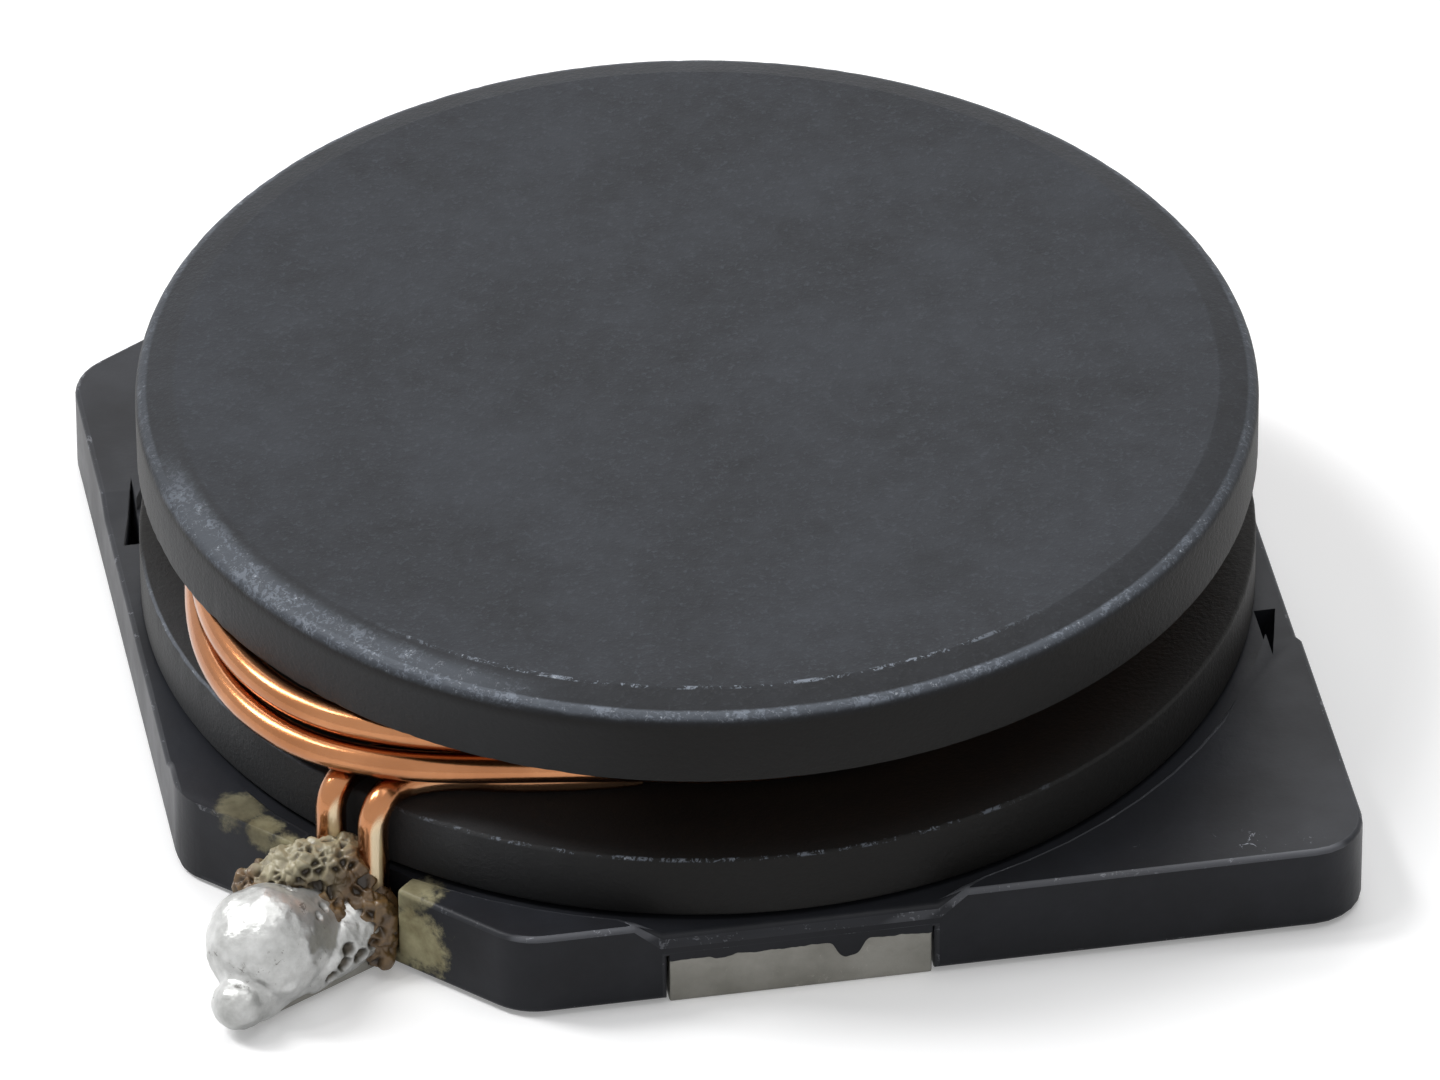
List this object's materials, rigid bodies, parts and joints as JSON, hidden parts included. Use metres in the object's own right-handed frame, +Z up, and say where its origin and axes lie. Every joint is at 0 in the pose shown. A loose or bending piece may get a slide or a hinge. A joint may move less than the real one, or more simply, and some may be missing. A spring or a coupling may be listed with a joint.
{
  "type": "surface-mount power inductor with open winding",
  "caption": "Low round ferrite drum wound with copper strands, glued to a square moulded base with soldered terminals at opposite corners, for storing energy in power circuits.",
  "frame": {"origin": "on the drum's axis, at the level of the undersides of the solder pads", "axes": "+Z up along the drum's axis, +Y towards the rear solder pad, +X to the right with the marked corner at the rear left"},
  "size_m": [0.0106, 0.0104, 0.0031],
  "materials": {
    "moulded_base": "black moulded plastic with a soft bluish sheen, scuffed along its edges",
    "glue": "cured amber glue film",
    "ferrite": "matt ground ferrite, finely speckled, with bright worn edges",
    "enamelled_copper": "bright copper under clear orange enamel",
    "tinned_strip": "dull tinned strip with a grey olive cast",
    "solder": "bright rounded solder with dark pits",
    "flux": "burnt tan flux, foamy, with open bubbles"
  },
  "bodies": {
    "root": {"base": "moulded_base", "adhesive": "glue", "drum_core": "ferrite", "winding": "enamelled_copper", "strand_1": "enamelled_copper", "strand_2": "enamelled_copper", "terminal_1": "tinned_strip", "terminal_2": "tinned_strip", "solder_joint_1": "solder", "solder_joint_2": "solder", "flux_residue_1": "flux", "flux_residue_2": "flux"}
  },
  "joints": []
}
